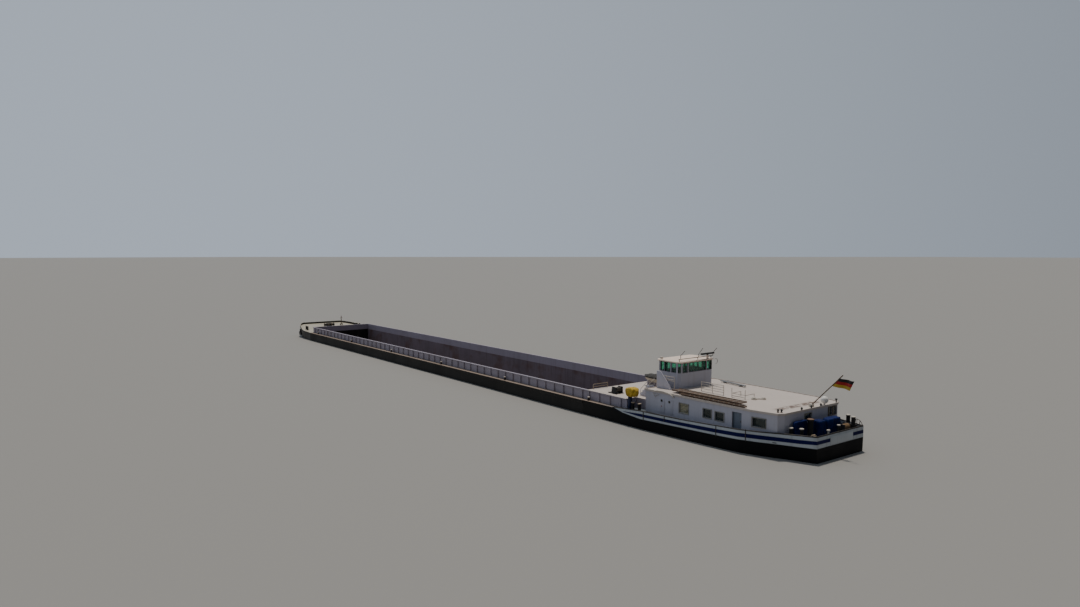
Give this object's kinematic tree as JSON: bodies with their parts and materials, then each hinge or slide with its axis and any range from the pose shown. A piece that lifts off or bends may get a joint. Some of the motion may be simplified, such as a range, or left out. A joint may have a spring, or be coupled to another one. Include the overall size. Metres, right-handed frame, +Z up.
{
  "type": "river barge, self-propelled motor barge, 1:10 scale model",
  "caption": "Long flat-bottomed self-propelled river barge with an open cargo hold, after deckhouse and wheelhouse.",
  "frame": {"origin": "middle of the bounding box, on the flat bottom of the hull", "axes": "+X towards the bow, +Y to port, +Z up"},
  "size_m": [10.562, 1.14, 0.8811],
  "materials": {
    "hull_black": "satin paint",
    "hull_grey": "worn paint, dusty",
    "coaming_grey": "worn paint",
    "deck_white": "matt deck paint",
    "house_white": "satin paint",
    "band_white": "satin paint with a dark blue stripe",
    "cream": "satin paint",
    "dark_gear": "worn black paint",
    "steel": "galvanised",
    "bronze": "cast bronze",
    "wood": "weathered boards",
    "blue_cover": "coated canvas",
    "yellow_cover": "coated canvas",
    "blue_paint": "satin paint",
    "window": "green-tinted",
    "engine": "machinery paint",
    "flag_cloth": "black, red and gold bunting",
    "chair_cover": "black upholstery"
  },
  "bodies": {
    "hull": {"hull_stern": "hull_black", "hull_mid": "hull_grey", "hull_bow": "hull_black", "coaming_port": "coaming_grey", "coaming_starboard": "coaming_grey", "coaming_fore": "coaming_grey", "raised_deck": "deck_white", "stern_bulwark": "band_white", "bow_bulwark": "hull_black", "house_walls": "house_white", "house_roof": "deck_white", "engine_port": "engine", "engine_starboard": "engine", "wheelhouse_base": "house_white", "wheelhouse_walls": "house_white", "wheelhouse_roof": "deck_white", "wheelhouse_glazing": "window", "wheelhouse_console": "dark_gear", "helm_chair": "chair_cover", "wheelhouse_stair": "house_white", "stair_screen": "house_white", "aerial_rail": "steel", "roof_rail": "house_white", "hatch_guard": "house_white", "roof_vents": "house_white", "roof_pipes": "steel", "hold_guard": "wood", "gangplank_outer": "wood", "gangplank_inner": "wood", "dome_aerial": "house_white", "flagstaff": "wood", "flag": "flag_cloth", "deck_cover_port": "blue_cover", "deck_cover_middle": "blue_cover", "deck_cover_starboard": "blue_cover", "capstan": "dark_gear", "aft_winch": "dark_gear", "bollards_notch_port": "dark_gear", "bollards_notch_starboard": "dark_gear", "bollards_aft_port": "dark_gear", "bollards_aft_starboard": "dark_gear", "crane_post": "blue_paint", "coupling_winch_port": "dark_gear", "coupling_winch_starboard": "dark_gear", "boat_hull": "cream", "boat_cover": "dark_gear", "windlass": "coaming_grey", "anchor_port": "dark_gear", "anchor_starboard": "dark_gear"},
    "propeller_port": {"propeller_port": "bronze"},
    "propeller_starboard": {"propeller_starboard": "bronze"},
    "rudder_port": {"rudder_port": "hull_black"},
    "rudder_starboard": {"rudder_starboard": "hull_black"},
    "radar_scanner": {"radar_scanner": "house_white"},
    "wheelhouse_door": {"wheelhouse_door": "house_white"},
    "house_door_port": {"house_door_port": "house_white"},
    "house_door_starboard": {"house_door_starboard": "house_white"},
    "bow_mast": {"bow_mast": "wood"},
    "fore_hatch_lid": {"fore_hatch_lid": "cream"},
    "crane_head": {"crane_head": "yellow_cover"}
  },
  "joints": [
    {"name": "propeller_port_turn", "type": "hinge", "parent": "hull", "child": "propeller_port", "pos_m": [-4.799, 0.2, 0.09], "axis": [1, 0, 0], "continuous": true},
    {"name": "propeller_starboard_turn", "type": "hinge", "parent": "hull", "child": "propeller_starboard", "pos_m": [-4.799, -0.2, 0.09], "axis": [1, 0, 0], "continuous": true},
    {"name": "rudder_port_turn", "type": "hinge", "parent": "hull", "child": "rudder_port", "pos_m": [-5.004, 0.2, 0.1], "axis": [0, 0, 1], "range_deg": [-60, 60]},
    {"name": "rudder_starboard_turn", "type": "hinge", "parent": "hull", "child": "rudder_starboard", "pos_m": [-5.004, -0.2, 0.1], "axis": [0, 0, 1], "range_deg": [-60, 60]},
    {"name": "radar_scanner_turn", "type": "hinge", "parent": "hull", "child": "radar_scanner", "pos_m": [-3.823, -0.138, 0.815], "axis": [0, 0, 1], "continuous": true},
    {"name": "wheelhouse_door_swing", "type": "hinge", "parent": "hull", "child": "wheelhouse_door", "pos_m": [-3.7075, -0.2238, 0.654], "axis": [0, 0, 1], "range_deg": [0, 100]},
    {"name": "house_door_port_slide", "type": "slide", "parent": "hull", "child": "house_door_port", "axis": [1, 0, 0], "range_m": [0, 0.098]},
    {"name": "house_door_starboard_slide", "type": "slide", "parent": "hull", "child": "house_door_starboard", "axis": [1, 0, 0], "range_m": [0, 0.098]},
    {"name": "bow_mast_fold", "type": "hinge", "parent": "hull", "child": "bow_mast", "pos_m": [5.016, -0.27, 0.395], "axis": [0, -1, 0], "range_deg": [0, 90]},
    {"name": "fore_hatch_lid_open", "type": "hinge", "parent": "hull", "child": "fore_hatch_lid", "pos_m": [4.498, 0, 0.3823], "axis": [0, -1, 0], "range_deg": [0, 110]},
    {"name": "crane_head_slew", "type": "hinge", "parent": "hull", "child": "crane_head", "pos_m": [-3.491, 0.49, 0.46], "axis": [0, 0, 1], "range_deg": [-150, 150]}
  ],
  "couplings": [
    {"joint": "rudder_starboard_turn", "follows": "rudder_port_turn", "ratio": 1}
  ]
}
